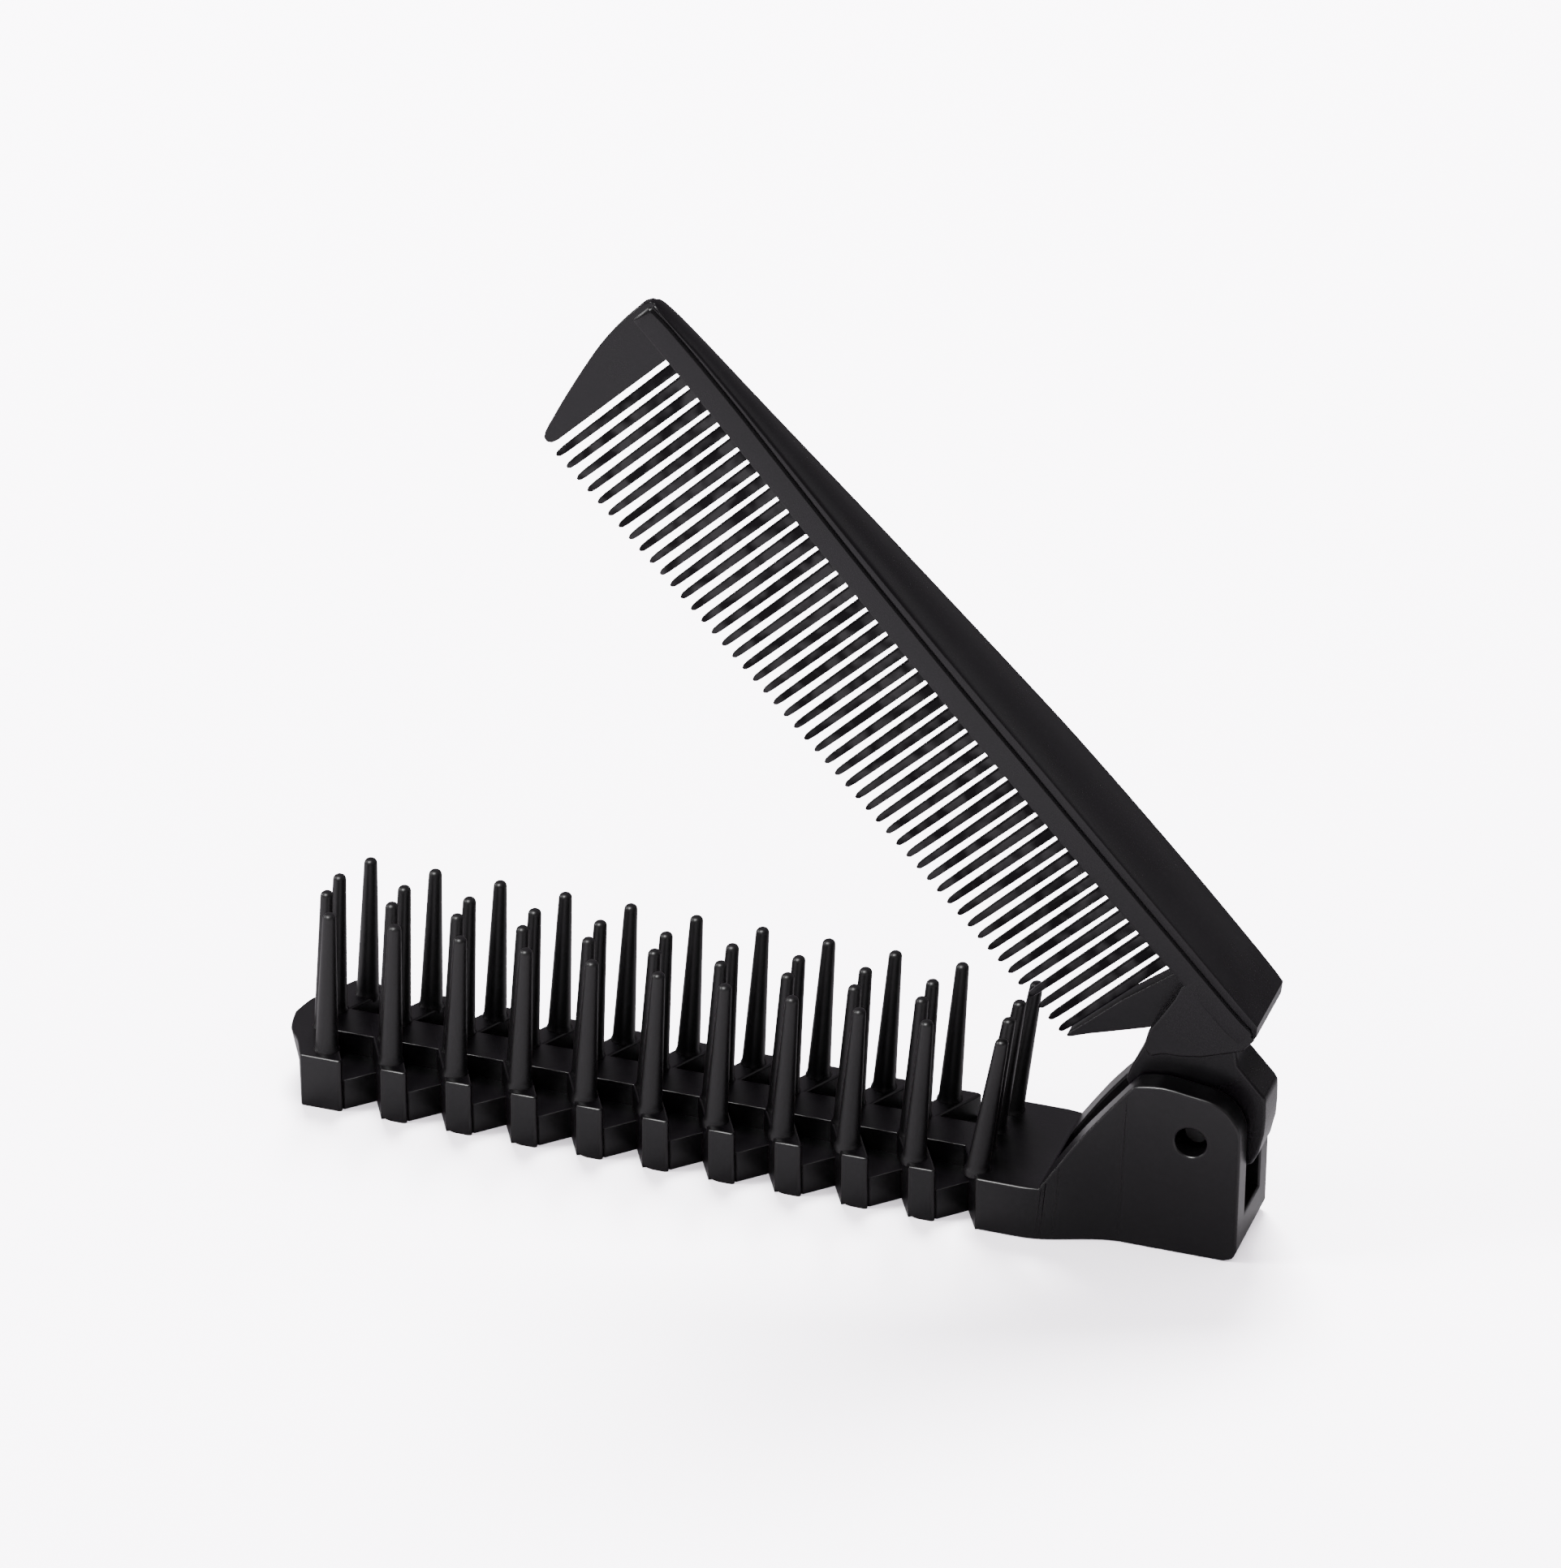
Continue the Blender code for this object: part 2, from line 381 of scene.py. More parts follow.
def mirrored(half: Sequence[Flat]) -> list[Flat]:
    """A closed plan, symmetric about X.

    Args:
        half: Its points on the side of +Y, in order.

    Returns:
        All its points, in order.
    """
    return [*half, *((x, -y) for x, y in reversed(half))]


def between(share: float, before: float, start: float, end: float, after: float) -> float:
    """A number on the way from one to the next, on a smooth curve through four.

    Args:
        share: How far it is from start to end, from 0 to 1.
        before: The number before start.
        start: The number at 0.
        end: The number at 1.
        after: The number after end.

    Returns:
        The number at that share.
    """
    slope = end - before
    bend = 2 * before - 5 * start + 4 * end - after
    swing = 3 * start - before - 3 * end + after
    return 0.5 * (2 * start + slope * share + bend * share**2 + swing * share**3)


def curve_through(points: Sequence[tuple[float, ...]], steps: int) -> list[tuple[float, ...]]:
    """Points on a smooth curve through others.

    Args:
        points: What the curve passes through, from end to end.
        steps: The steps from each to the next.

    Returns:
        The curve's points, with both ends.
    """
    ends = [points[0], *points, points[-1]]
    curve = []
    for four in zip(ends, ends[1:], ends[2:], ends[3:]):
        for step in range(steps):
            share = step / steps
            curve.append(tuple(between(share, *numbers) for numbers in zip(*four)))
    return [*curve, tuple(points[-1])]


# Finishes


@dataclass(frozen=True)
class Value:
    """A socket that Python's operators work on by adding Math nodes."""

    finish: FinishTree
    source: bpy.types.NodeSocket

    def _math(self, operation: str, first: object, second: object) -> Value:
        """Adds one Math node and returns its output."""
        return self.finish.node("ShaderNodeMath", {"operation": operation}, {0: first, 1: second})

    def __add__(self, other: object) -> Value:
        """Sum."""
        return self._math("ADD", self, other)

    def __radd__(self, other: object) -> Value:
        """Sum with the value on the right."""
        return self._math("ADD", other, self)

    def __sub__(self, other: object) -> Value:
        """Difference."""
        return self._math("SUBTRACT", self, other)

    def __rsub__(self, other: object) -> Value:
        """Difference with the value on the right."""
        return self._math("SUBTRACT", other, self)

    def __mul__(self, other: object) -> Value:
        """Product."""
        return self._math("MULTIPLY", self, other)

    def __rmul__(self, other: object) -> Value:
        """Product with the value on the right."""
        return self._math("MULTIPLY", other, self)


class FinishTree:
    """The node tree of one finish, or of the room round the object."""

    def __init__(
        self, owner: bpy.types.Material | bpy.types.World, shader: str = "Principled BSDF"
    ) -> None:
        """Switches the owner's nodes on.

        Args:
            owner: The new material or world.
            shader: The name of its shader's node.
        """
        owner.use_nodes = True
        self.tree = owner.node_tree
        self.shader = self.tree.nodes[shader]

    def node(
        self,
        kind: str,
        settings: dict[str, object] | None = None,
        inputs: dict[object, object] | None = None,
        output: object = 0,
    ) -> Value:
        """Adds a node.

        Args:
            kind: The node's type.
            settings: Its properties, or for a ramp the key stops with (place, colour) pairs.
            inputs: Values or links of its sockets, by name or number.
            output: The output wanted, by name or number.

        Returns:
            That output as a value.
        """
        made = self.tree.nodes.new(kind)
        for key, value in (settings or {}).items():
            if key == "stops":
                self._set_stops(made.color_ramp, value)
            else:
                setattr(made, key, value)
        for key, value in (inputs or {}).items():
            self.feed(made.inputs[key], value)
        return Value(self, made.outputs[output])

    def blend(self, share: Value, first: object, second: object) -> Value:
        """Blends two colours.

        Args:
            share: How much of the second shows.
            first: The first colour, as a value or as four numbers.
            second: The second colour.

        Returns:
            The colour between them.
        """
        inputs = {"Factor": share, 6: first, 7: second}
        return self.node("ShaderNodeMix", {"data_type": "RGBA"}, inputs, output=2)

    @staticmethod
    def _set_stops(ramp: bpy.types.ColorRamp, stops: Sequence[tuple[float, Sequence[float]]]) -> None:
        """Sets a ramp's stops.

        Args:
            ramp: The ramp.
            stops: Pairs of place and colour.
        """
        while len(ramp.elements) < len(stops):
            ramp.elements.new(1.0)
        for element, (place, colour) in zip(ramp.elements, stops):
            element.position = place
            element.color = colour

    def feed(self, socket: bpy.types.NodeSocket, value: object) -> None:
        """Links or sets one input.

        Args:
            socket: The input.
            value: A Value to link, or what to set.
        """
        if isinstance(value, Value):
            self.tree.links.new(value.source, socket)
        else:
            socket.default_value = value

    def set_shader(self, **inputs: object) -> None:
        """Sets the shader's inputs.

        Args:
            **inputs: Values or links by the input's name, with underscores for spaces.
        """
        for name, value in inputs.items():
            self.feed(self.shader.inputs[name.replace("_", " ")], value)


@dataclass(frozen=True)
class MouldedPlastic:
    """Black moulded plastic with a fine grain, faint wear and, where wanted, glossier patches."""

    name: str
    colour: tuple[float, float, float] = (0.0008, 0.0005, 0.0009)
    worn_colour: tuple[float, float, float] = (0.0013, 0.0009, 0.0014)
    worn_from: float = 0.52
    worn_to: float = 0.72
    cloud_scale: float = 90.0
    roughness: float = 0.33
    roughness_spread: float = 0.10
    specular: float = 0.38
    grain_size: float = 0.35
    grain_depth: float = 0.004
    marks_scale: Point = (260.0, 2600.0, 2600.0)
    marks_turn: Point = (0.0, 0.8, 0.3)
    marks_depth: float = 0.003
    patches: float = 0.0
    patch_size: float = 2.2
    patch_roughness: float = 0.3
    patch_from: float = 0.38
    patch_to: float = 0.62

    def make(self) -> bpy.types.Material:
        """Builds the material.

        Returns:
            The material.
        """
        material = bpy.data.materials.new(self.name)
        tree = FinishTree(material)
        place = tree.node("ShaderNodeTexCoord", output="Object")
        clouds = {"Vector": place, "Scale": self.cloud_scale, "Detail": 4.0, "Roughness": 0.6}
        cloud = tree.node("ShaderNodeTexNoise", {}, clouds)
        tree.set_shader(
            Base_Color=self.worn(tree, cloud),
            Roughness=self.roughness + (cloud - 0.5) * (2 * self.roughness_spread),
            Specular_IOR_Level=self.specular,
            Normal=self.relief(tree, place),
        )
        if self.patches:
            spots = {"Vector": place, "Scale": 1 / (self.patch_size * MM), "Detail": 1.0}
            blotch = tree.node("ShaderNodeTexNoise", {}, spots)
            edges = {"Value": blotch, "From Min": self.patch_from, "From Max": self.patch_to}
            bright = tree.node("ShaderNodeMapRange", {}, edges, output="Result")
            tree.set_shader(Coat_Weight=bright * self.patches, Coat_Roughness=self.patch_roughness)
        return material

    def worn(self, tree: FinishTree, cloud: Value) -> Value:
        """The colour, a little paler where the surface is worn.

        Args:
            tree: The finish's nodes.
            cloud: The soft noise that says where it is worn.

        Returns:
            The colour.
        """
        stops = [(self.worn_from, (0, 0, 0, 1)), (self.worn_to, (1, 1, 1, 1))]
        share = tree.node("ShaderNodeValToRGB", {"stops": stops}, {"Fac": cloud})
        return tree.blend(share, (*self.colour, 1.0), (*self.worn_colour, 1.0))

    def relief(self, tree: FinishTree, place: Value) -> Value:
        """The grain of the mould and the fine scratches of handling.

        Args:
            tree: The finish's nodes.
            place: The place on the object.

        Returns:
            The normal.
        """
        fine = {"Vector": place, "Scale": 1 / (self.grain_size * MM), "Detail": 3.0}
        grain = tree.node("ShaderNodeTexNoise", {}, fine)
        stretch = {"Vector": place, "Scale": self.marks_scale, "Rotation": self.marks_turn}
        stretched = tree.node("ShaderNodeMapping", {}, stretch)
        marks = tree.node("ShaderNodeTexNoise", {}, {"Vector": stretched, "Scale": 1.0, "Detail": 2.0})
        height = (grain - 0.5) * self.grain_depth + (marks - 0.5) * self.marks_depth
        bump = {"Height": height, "Strength": 1.0, "Distance": MM}
        return tree.node("ShaderNodeBump", {}, bump, output="Normal")


# The hinge


@dataclass(frozen=True)
class Hinge:
    """Where the comb turns in the fork, and how far it stands open at rest."""

    x: float
    z: float
    open_angle: float
    bore_radius: float = 1.85

    @classmethod
    def of_frame(cls, frame: dict[str, object]) -> Hinge:
        """Reads the hinge from the frame's only joint, whose lower limit is the closed comb.


        Returns:
            The hinge.
        """
        joint = frame["joints"][0]
        x, _, z = (round(metres / MM, 3) for metres in joint["pos_m"])
        return cls(x, z, -joint["range_deg"][0])


@dataclass
class HingePin:
    """The short pin of the hinge, sunk in the fork's bores."""

    hinge: Hinge
    finish: bpy.types.Material
    radius: float = 1.55
    half_length: float = 3.75
    rounding: float = 0.25

    def build(self) -> bpy.types.Object:
        """Models the pin.

        Returns:
            The pin, in its bores.
        """
        pin = rod("fork_pin", (self.hinge.x, self.hinge.z), self.radius, self.half_length)
        round_edges(pin, self.rounding)
        return pin

    def dress(self, pin: bpy.types.Object) -> None:
        """Shades the pin and gives it its finish."""
        put_finish(pin, self.finish)


# The brush base


@dataclass
class VentBase:
    """The brush base: a plate with chevron ribs, notched edges, a rounded nose and a fork."""

    hinge: Hinge
    finish: bpy.types.Material
    first_group_x: float = -52.7
    group_pitch: float = 8.13
    groups: int = 11
    half_width: float = 9.2
    rib_top: float = 6.9
    plate_top: float = 4.0
    rib_end_ahead: float = 0.55
    rib_sweep: float = 0.53
    rib_width: float = 3.4
    rib_corner: float = 0.7
    rib_foot_corner: float = 1.1
    spine_half_width: float = 2.6
    spine_foot: float = 1.0
    notch_depth: float = 3.65
    nose_root_x: float = -55.0
    nose_lean: float = 0.28
    fork_half_width: float = 6.35
    fork_gap_half: float = 3.1
    fork_root_x: float = 20.0
    fork_end: float = 57.9
    sweep_from: float = 32.7
    sweep_to: float = 44.3
    sweep_steps: int = 24
    web_from: float = 35.3
    web_slope: float = 1.2
    web_top: float = 5.0
    fillet: float = 0.3
    plate_fillet: float = 0.12
    spine_fillet: float = 0.1
    bury: float = 0.02
    tuck: float = 0.06
    cutter_half: float = 12.0
    cutter_top: float = 30.0

    def group_x(self, group: int) -> float:
        """X of a group's outer pin tips, counted from 0 at the nose."""
        return self.first_group_x + self.group_pitch * group

    def flank(self, group: int, y: float, side: int) -> float:
        """X of a rib's flank at y, towards the fork for side 1 and the nose for side -1."""
        centre = self.group_x(group) + self.rib_end_ahead - self.rib_sweep * (self.half_width - abs(y))
        return centre + side * self.rib_width / 2

    def round_block(self, block: bpy.types.Object, group: int) -> None:
        """Rounds a block's upright corners towards the fork, then its top edges.

        Args:
            block: The nose or a rib.
            group: The group it carries.
        """
        corner = self.flank(group, self.half_width, 1)

        def fork_corner(start: Vector, end: Vector) -> bool:
            """Whether an edge stands upright at the block's end towards the fork."""
            return min(start.x, end.x) > corner - 2 * NEAR and abs(start.y - end.y) < 2 * NEAR

        def top_edge(start: Vector, end: Vector) -> bool:
            """Whether an edge lies in the block's top."""
            return min(start.z, end.z) > self.rib_top - NEAR

        round_edges(block, self.rib_corner, fork_corner, segments=4)
        round_edges(block, self.fillet, top_edge, clamp=True)

    def rib(self, group: int) -> bpy.types.Object:
        """Models one chevron rib, from edge to edge of the base.

        Args:
            group: The group of pins that it carries.

        Returns:
            The rib.
        """
        edge = self.half_width
        turns = [(edge, 1), (0.0, 1), (-edge, 1), (-edge, -1), (0.0, -1), (edge, -1)]
        plan = [(self.flank(group, y, side), y) for y, side in turns]
        rib = prism("rib", plan, Across.Z, 0.0, self.rib_top)
        foot = self.flank(group, edge, -1)

        def nose_side_foot(start: Vector, end: Vector) -> bool:
            """Whether an edge lies on the floor, on the rib's flank towards the nose."""
            on_flank = min(start.x, end.x) < foot - 1 and max(start.x, end.x) < foot + 2 * NEAR
            return on_flank and max(start.z, end.z) < NEAR

        round_edges(rib, self.rib_foot_corner, nose_side_foot)
        self.round_block(rib, group)
        return rib

    def nose(self) -> bpy.types.Object:
        """Models the nose with the first rib, leaning in towards the floor at its tip.

        Returns:
            The nose.
        """
        tip = [(-60.0, 0.0), (-59.2, 3.5), (-57.5, 5.9), (-56.5, 7.9)]
        half = curve_through(tip, 4)[1:] + [(-55.95, 8.95), (-55.65, self.half_width)]
        half += [(self.flank(0, y, 1), y) for y in (self.half_width, 2.0)]
        rings = []
        for z in (0.0, self.rib_top):
            lean = self.nose_lean * (self.rib_top - z)
            ring = []
            for x, y in [*mirrored(half), tip[0]]:
                share = 1 - (y / self.half_width) ** 2 if x < self.nose_root_x else 0.0
                ring.append((x + lean * share, y, z))
            rings.append(ring)
        nose = loft("nose", rings)
        self.round_block(nose, 0)
        return nose

    def plate(self) -> bpy.types.Object:
        """Models the low plate between the ribs, with its notched edges.

        Returns:
            The plate, which runs a little into each rib.
        """
        corner_y = self.half_width - self.rib_corner
        half = [(self.group_x(0), self.half_width - 1.0)]
        for group in range(self.groups - 1):
            end = self.flank(group, self.half_width, 1)
            start = self.flank(group + 1, self.half_width, -1)
            apex = start - self.rib_sweep * self.notch_depth
            half += [
                (end - self.tuck, corner_y),
                (apex + self.bury, self.half_width - self.notch_depth),
                (start + self.bury, self.half_width - self.bury),
                (start + 1.0, corner_y),
            ]
        plate = prism("plate", mirrored(half), Across.Z, self.bury, self.plate_top)

        def top_edge(start: Vector, end: Vector) -> bool:
            """Whether an edge lies in the plate's top."""
            return min(start.z, end.z) > self.plate_top - NEAR

        round_edges(plate, self.plate_fillet, top_edge, clamp=True)
        return plate

    def spine(self) -> bpy.types.Object:
        """Models the ridge along the middle that the ribs meet.

        Returns:
            The spine.
        """
        start, end, half = self.group_x(0) - 2, self.sweep_from + 1, self.spine_half_width
        outline = [(start, -half), (end, -half), (end, half), (start, half)]
        spine = prism("spine", outline, Across.Z, self.spine_foot, self.rib_top - self.bury)
        round_edges(spine, self.spine_fillet)
        return spine

    def side_outline(self) -> list[Flat]:
        """The fork from the front: the end of the low bar, which rises into the cheeks.

        Returns:
            The outline's points in X and Z.
        """
        slope_top = (43.0, 18.6)
        slope = [(34.8, self.rib_top), (35.5, 8.0), (38.4, 12.5), (40.6, 15.5), slope_top]
        shoulder = [slope_top, (44.7, 20.75), (45.6, 21.3), (48.6, 21.7), (51.8, 21.3), (54.1, 20.95)]
        shoulder += [(55.6, 20.3), (56.6, 19.4), (57.5, 18.0), (self.fork_end, 16.6)]
        end = [(self.fork_end, 1.5), (self.fork_end - 0.44, 0.44), (self.fork_end - 1.5, 0.0)]
        start = [(self.fork_root_x, 0.0), (self.fork_root_x, self.rib_top)]
        return start + curve_through(slope, 2)[:-1] + curve_through(shoulder, 3) + end

    def fork_blank(self) -> bpy.types.Object:
        """Models the fork's plan as an upright block, from the last group's rib to beyond its end.

        Returns:
            The block, which sweeps in from the base's width to the fork's.
        """
        half = [(self.flank(self.groups - 1, y, -1), y) for y in (0.0, self.half_width)]
        for step in range(self.sweep_steps + 1):
            share = step / self.sweep_steps
            ease = share * share * (3 - 2 * share)
            x = self.sweep_from + (self.sweep_to - self.sweep_from) * share
            half.append((x, self.half_width + (self.fork_half_width - self.half_width) * ease))
        half.append((self.fork_end + 2, self.fork_half_width))
        return prism("fork", [half[0], *mirrored(half[1:])], Across.Z, -1.0, 24.0)

    def fork(self) -> bpy.types.Object:
        """Models the fork's cheeks and web, with the rib of the last group at their foot.

        Returns:
            The fork.
        """
        fork = self.fork_blank()
        reach = self.cutter_half
        cut(fork, prism("side_form", self.side_outline(), Across.Y, -reach, reach), Cut.INSIDE)
        beyond = self.fork_end + 3
        gap = [
            (self.web_from, self.cutter_top),
            (self.web_from, self.rib_top),
            (self.web_from + self.web_slope, self.web_top),
            (beyond, self.web_top),
            (beyond, self.cutter_top),
        ]
        cut(fork, prism("fork_gap", gap, Across.Y, -self.fork_gap_half, self.fork_gap_half), Cut.OUTSIDE)
        bore = rod("fork_bore", (self.hinge.x, self.hinge.z), self.hinge.bore_radius, reach)
        cut(fork, bore, Cut.OUTSIDE)
        clean(fork)
        round_edges(fork, self.fillet)
        return fork

    def build(self) -> bpy.types.Object:
        """Models the moulding without its pins.

        Returns:
            The base.
        """
        ribs = [self.rib(group) for group in range(1, self.groups - 1)]
        return join([self.fork(), self.nose(), self.spine(), self.plate(), *ribs], "vent_base")

    def dress(self, base: bpy.types.Object) -> None:
        """Shades the base and gives it its finish."""
        put_finish(base, self.finish)


@dataclass
class BrushPins:
    """The four rows of brush pins, each pin tapered, domed and flared into its rib."""

    base: VentBase
    finish: bpy.types.Material
    tip_z: float = 25.4
    outer_y: float = 6.82
    inner_y: float = 2.07
    inner_back: float = 2.11
    tip_radius: float = 0.79
    outer_foot_radius: float = 1.36
    inner_foot_radius: float = 1.22
    flare: float = 0.2
    flare_height: float = 0.7
    foot_depth: float = 0.6
    dome: float = 0.62
    dome_turns: tuple[int, ...] = (0, 22, 45, 65, 80)
    first_lean: float = 0.65
    last_lean: float = 1.2
    end_lean: float = 2.6
    end_ahead: float = 0.8
    end_inner_back: float = 0.6
    end_drop: float = 0.7
    sides: int = 20

    def height(self) -> float:
        """The height of a pin above its rib."""
        return self.tip_z - self.base.rib_top

    def pattern(self, foot_radius: float) -> bpy.types.Object:
        """Models one upright pin with its foot on the ground plane.

        Args:
            foot_radius: The radius at the foot.

        Returns:
            The pin.
        """
        height = self.height()
        flared = foot_radius + self.flare
        rows = [(-self.foot_depth, flared), (0.0, flared), (self.flare, foot_radius + 0.4 * self.flare)]
        rows += [(self.flare_height, foot_radius), (height / 2, (foot_radius + self.tip_radius) / 2)]
        for turn in self.dome_turns:
            rise, narrowing = math.sin(math.radians(turn)), math.cos(math.radians(turn))
            rows.append((height - self.dome * (1 - rise), self.tip_radius * (1 + 3 * narrowing) / 4))
        rings = [[(a, b, z) for a, b in circle(radius, self.sides)] for z, radius in rows]
        return loft("pin_pattern", rings)

    def stance(self, group: int, row_y: float, side: int) -> Matrix:
        """The lean and the place of one pin. The last group, at the fork, leans and stands apart.

        Args:
            group: Its group, counted from 0 at the nose.
            row_y: How far its row stands from the middle.
            side: 1 or -1, the side of the middle.

        Returns:
            The transform of the upright pattern.
        """
        inner = row_y == self.inner_y
        tip_x = self.base.group_x(group)
        if group == self.base.groups - 1:
            lean = self.end_lean
            shrink = 1 - self.end_drop / self.height()
            tip_x += self.end_ahead - self.end_inner_back * inner
        else:
            lean = self.first_lean + (self.last_lean - self.first_lean) * group / (self.base.groups - 2)
            shrink = 1.0
            tip_x -= self.inner_back * inner
        tilt = Matrix.Identity(4)
        tilt[0][2] = lean / self.height()
        tilt[2][2] = shrink
        foot = Vector((tip_x - lean * shrink, side * row_y, self.base.rib_top)) * MM
        return Matrix.Translation(foot) @ tilt

    def build(self) -> bpy.types.Object:
        """Models all the pins.

        Returns:
            The pins as one piece.
        """
        rows = ((self.outer_y, self.outer_foot_radius), (self.inner_y, self.inner_foot_radius))
        pins = []
        for row_y, foot_radius in rows:
            pattern = self.pattern(foot_radius)
            for group in range(self.base.groups):
                for side in (1, -1):
                    pins.append(copy_of(pattern, "brush_pin", self.stance(group, row_y, side)))
            bpy.data.objects.remove(pattern, do_unlink=True)
        return join(pins, "brush_pins")

    def dress(self, field: bpy.types.Object) -> None:
        """Shades the pins and gives them their finish."""
        put_finish(field, self.finish, sharp_angle=50.0, weighted=False)


# The comb


class Station(NamedTuple):
    """One section of the comb's back.

    It has its distance u from the hinge, half the width of its top, the v of the top's edges and
    the height of the lip between the top and the groove.
    """

    u: float
    half_width: float
    top: float
    lip: float


@dataclass
class ToothedComb:
    """The comb: a crowned, grooved back, fine teeth, two guards, and the neck and eye of the hinge.

    Its outlines are in u, from the hinge along the comb, and v, from the back to the teeth.
    """

    hinge: Hinge
    finish: bpy.types.Material
    teeth_finish: bpy.types.Material
    ledge_v: float = -12.4
    band_inset: float = 0.4
    band_least: float = 0.95
    groove_depth: float = 0.3
    groove_least: float = 0.6
    crown: float = 1.1
    crown_from_u: float = 6.9
    crown_run: float = 5.0
    crown_full_half: float = 4.0
    neck_fillet: float = 0.3
    knuckle_half: float = 2.8
    knuckle_radius: float = 7.0
    knuckle_flattening: float = 0.8
    knuckle_fillet: float = 0.35
    hinge_guard_half: float = 1.4
    hinge_guard_fillet: float = 0.12
    free_guard_half: float = 0.62
    free_guard_fillet: float = 0.15
    teeth: int = 50
    tooth_pitch: float = 1.8
    first_tooth_u: float = 18.03
    tooth_tip_v: float = 7.3
    root_width: float = 1.18
    root_thickness: float = 1.3
    tip_width: float = 0.8
    tip_thickness: float = 0.9

    def opened(self) -> Matrix:
        """The turn and move that take the closed comb to its place at rest."""
        turn = Matrix.Rotation(math.radians(self.hinge.open_angle), 4, "Y")
        return Matrix.Translation(Vector((self.hinge.x, 0.0, self.hinge.z)) * MM) @ turn

    def stations(self) -> list[Station]:
        """The back's sections, from its blunt end over the hinge to the free end.

        Returns:
            The sections, on smooth curves but for the facet of the blunt end.
        """
        facet = [(5.95, 5.4, -15.35, 0.3), (6.9, 5.5, -16.42, 0.85)]
        start = [(8.4, 5.6, -16.5, 0.95), (10.2, 5.64, -16.56, 1.0)]
        plan = (
            (12.0, 5.67, -16.62, 1.02),
            (20.0, 5.7, -16.82, 1.05),
            (28.0, 5.66, -16.96, 1.07),
            (37.0, 5.53, -17.06, 1.08),
            (46.0, 5.28, -17.1, 1.06),
            (56.0, 4.9, -16.95, 0.98),
            (67.0, 4.32, -16.82, 0.88),
            (78.0, 3.63, -16.72, 0.78),
            (92.0, 2.52, -16.62, 0.6),
            (98.0, 2.05, -16.58, 0.5),
            (106.0, 1.58, -16.48, 0.42),
            (110.5, 1.36, -16.3, 0.36),
            (112.4, 1.15, -16.15, 0.33),
            (113.2, 0.9, -16.05, 0.3),
            (113.55, 0.55, -15.92, 0.25),
        )
        return [Station(*numbers) for numbers in facet + start + curve_through(plan, 4)]

    def band_half(self, half_width: float) -> float:
        """Half the width of the band's faces where the top has this half width."""
        return max(half_width - self.band_inset, min(self.band_least, half_width))

    def band_half_at(self, u: float) -> float:
        """Half the width of the band's faces at a place along the comb.

        Args:
            u: The distance from the hinge.

        Returns:
            Half the band's width there.
        """
        stations = self.stations()
        for low, high in zip(stations, stations[1:]):
            if u <= high.u:
                share = max(0.0, (u - low.u) / (high.u - low.u))
                return self.band_half(low.half_width + (high.half_width - low.half_width) * share)
        return self.band_least

    def crown_at(self, station: Station) -> float:
        """How high the top is crowned: less where it is narrow and none at the blunt end's facet."""
        from_facet = min(1.0, max(0.0, (station.u - self.crown_from_u) / self.crown_run))
        return self.crown * min(1.0, station.half_width / self.crown_full_half) * from_facet

    def back_section(self, station: Station) -> list[Point]:
        """One section of the back.

        Args:
            station: Where it is and how wide and high.

        Returns:
            The section's points.
        """
        half_width, top = station.half_width, station.top
        lip_foot = top + station.lip
        band = self.band_half(half_width)
        groove = max(band - self.groove_depth, min(self.groove_least, half_width))
        crown = self.crown_at(station)
        half = []
        for share in (0.1, 0.25, 0.4, 0.55, 0.7, 0.83, 0.93):
            half.append((half_width * share, top + crown * (share**2 - 1) * 0.5))
        half += [
            # The top's edge and the lip
            (half_width - 0.05, top + 0.05),
            (half_width, top + 0.15),
            (half_width - 0.03, lip_foot - 0.12),
            (half_width - 0.12, lip_foot),
            # The groove
            (groove, lip_foot + 0.25),
            (groove, lip_foot + 0.38),
            # The band and its rounded ledge
            (band - 0.04, lip_foot + 0.66),
            (band, lip_foot + 0.78),
            (band, self.ledge_v - 0.35),
            (band - 0.1, self.ledge_v - 0.1),
            (band - 0.33, self.ledge_v),
        ]
        ring = half + [(-y, v) for y, v in reversed(half)]
        return [(-station.u, y, -v) for y, v in ring]

    def body(self, name: str, outline: Sequence[Flat], half: float, fillet: float) -> bpy.types.Object:
        """One flat body of the comb with rounded edges.

        Args:
            name: Its name.
            outline: Its outline in u and v.
            half: Half its thickness.
            fillet: The radius on its edges.

        Returns:
            The body.
        """
        piece = prism(name, [(-u, -v) for u, v in outline], Across.Y, -half, half)
        round_edges(piece, fillet, clamp=True)
        return piece

    def neck(self) -> bpy.types.Object:
        """Models the thick neck that carries the comb on its eye, flush with the band.

        Returns:
            The neck.
        """
        teeth_side = [(15.6, -12.0), (14.9, -10.4), (14.2, -7.9), (13.5, -5.0), (12.2, -2.9)]
        hinge_side = [(10.8, -2.9), (10.2, -4.4), (8.8, -5.9), (7.4, -7.9), (6.2, -10.4), (5.3, -12.4)]
        under_back = [(5.55, -14.3), (6.1, -14.75), (15.6, -15.0)]
        outline = teeth_side + hinge_side + under_back
        proud = 0.02
        rings = [[(-u, side * (self.band_half_at(u) + proud), -v) for u, v in outline] for side in (-1, 1)]
        piece = loft("neck", rings)
        round_edges(piece, self.neck_fillet, least_angle=45)
        return piece

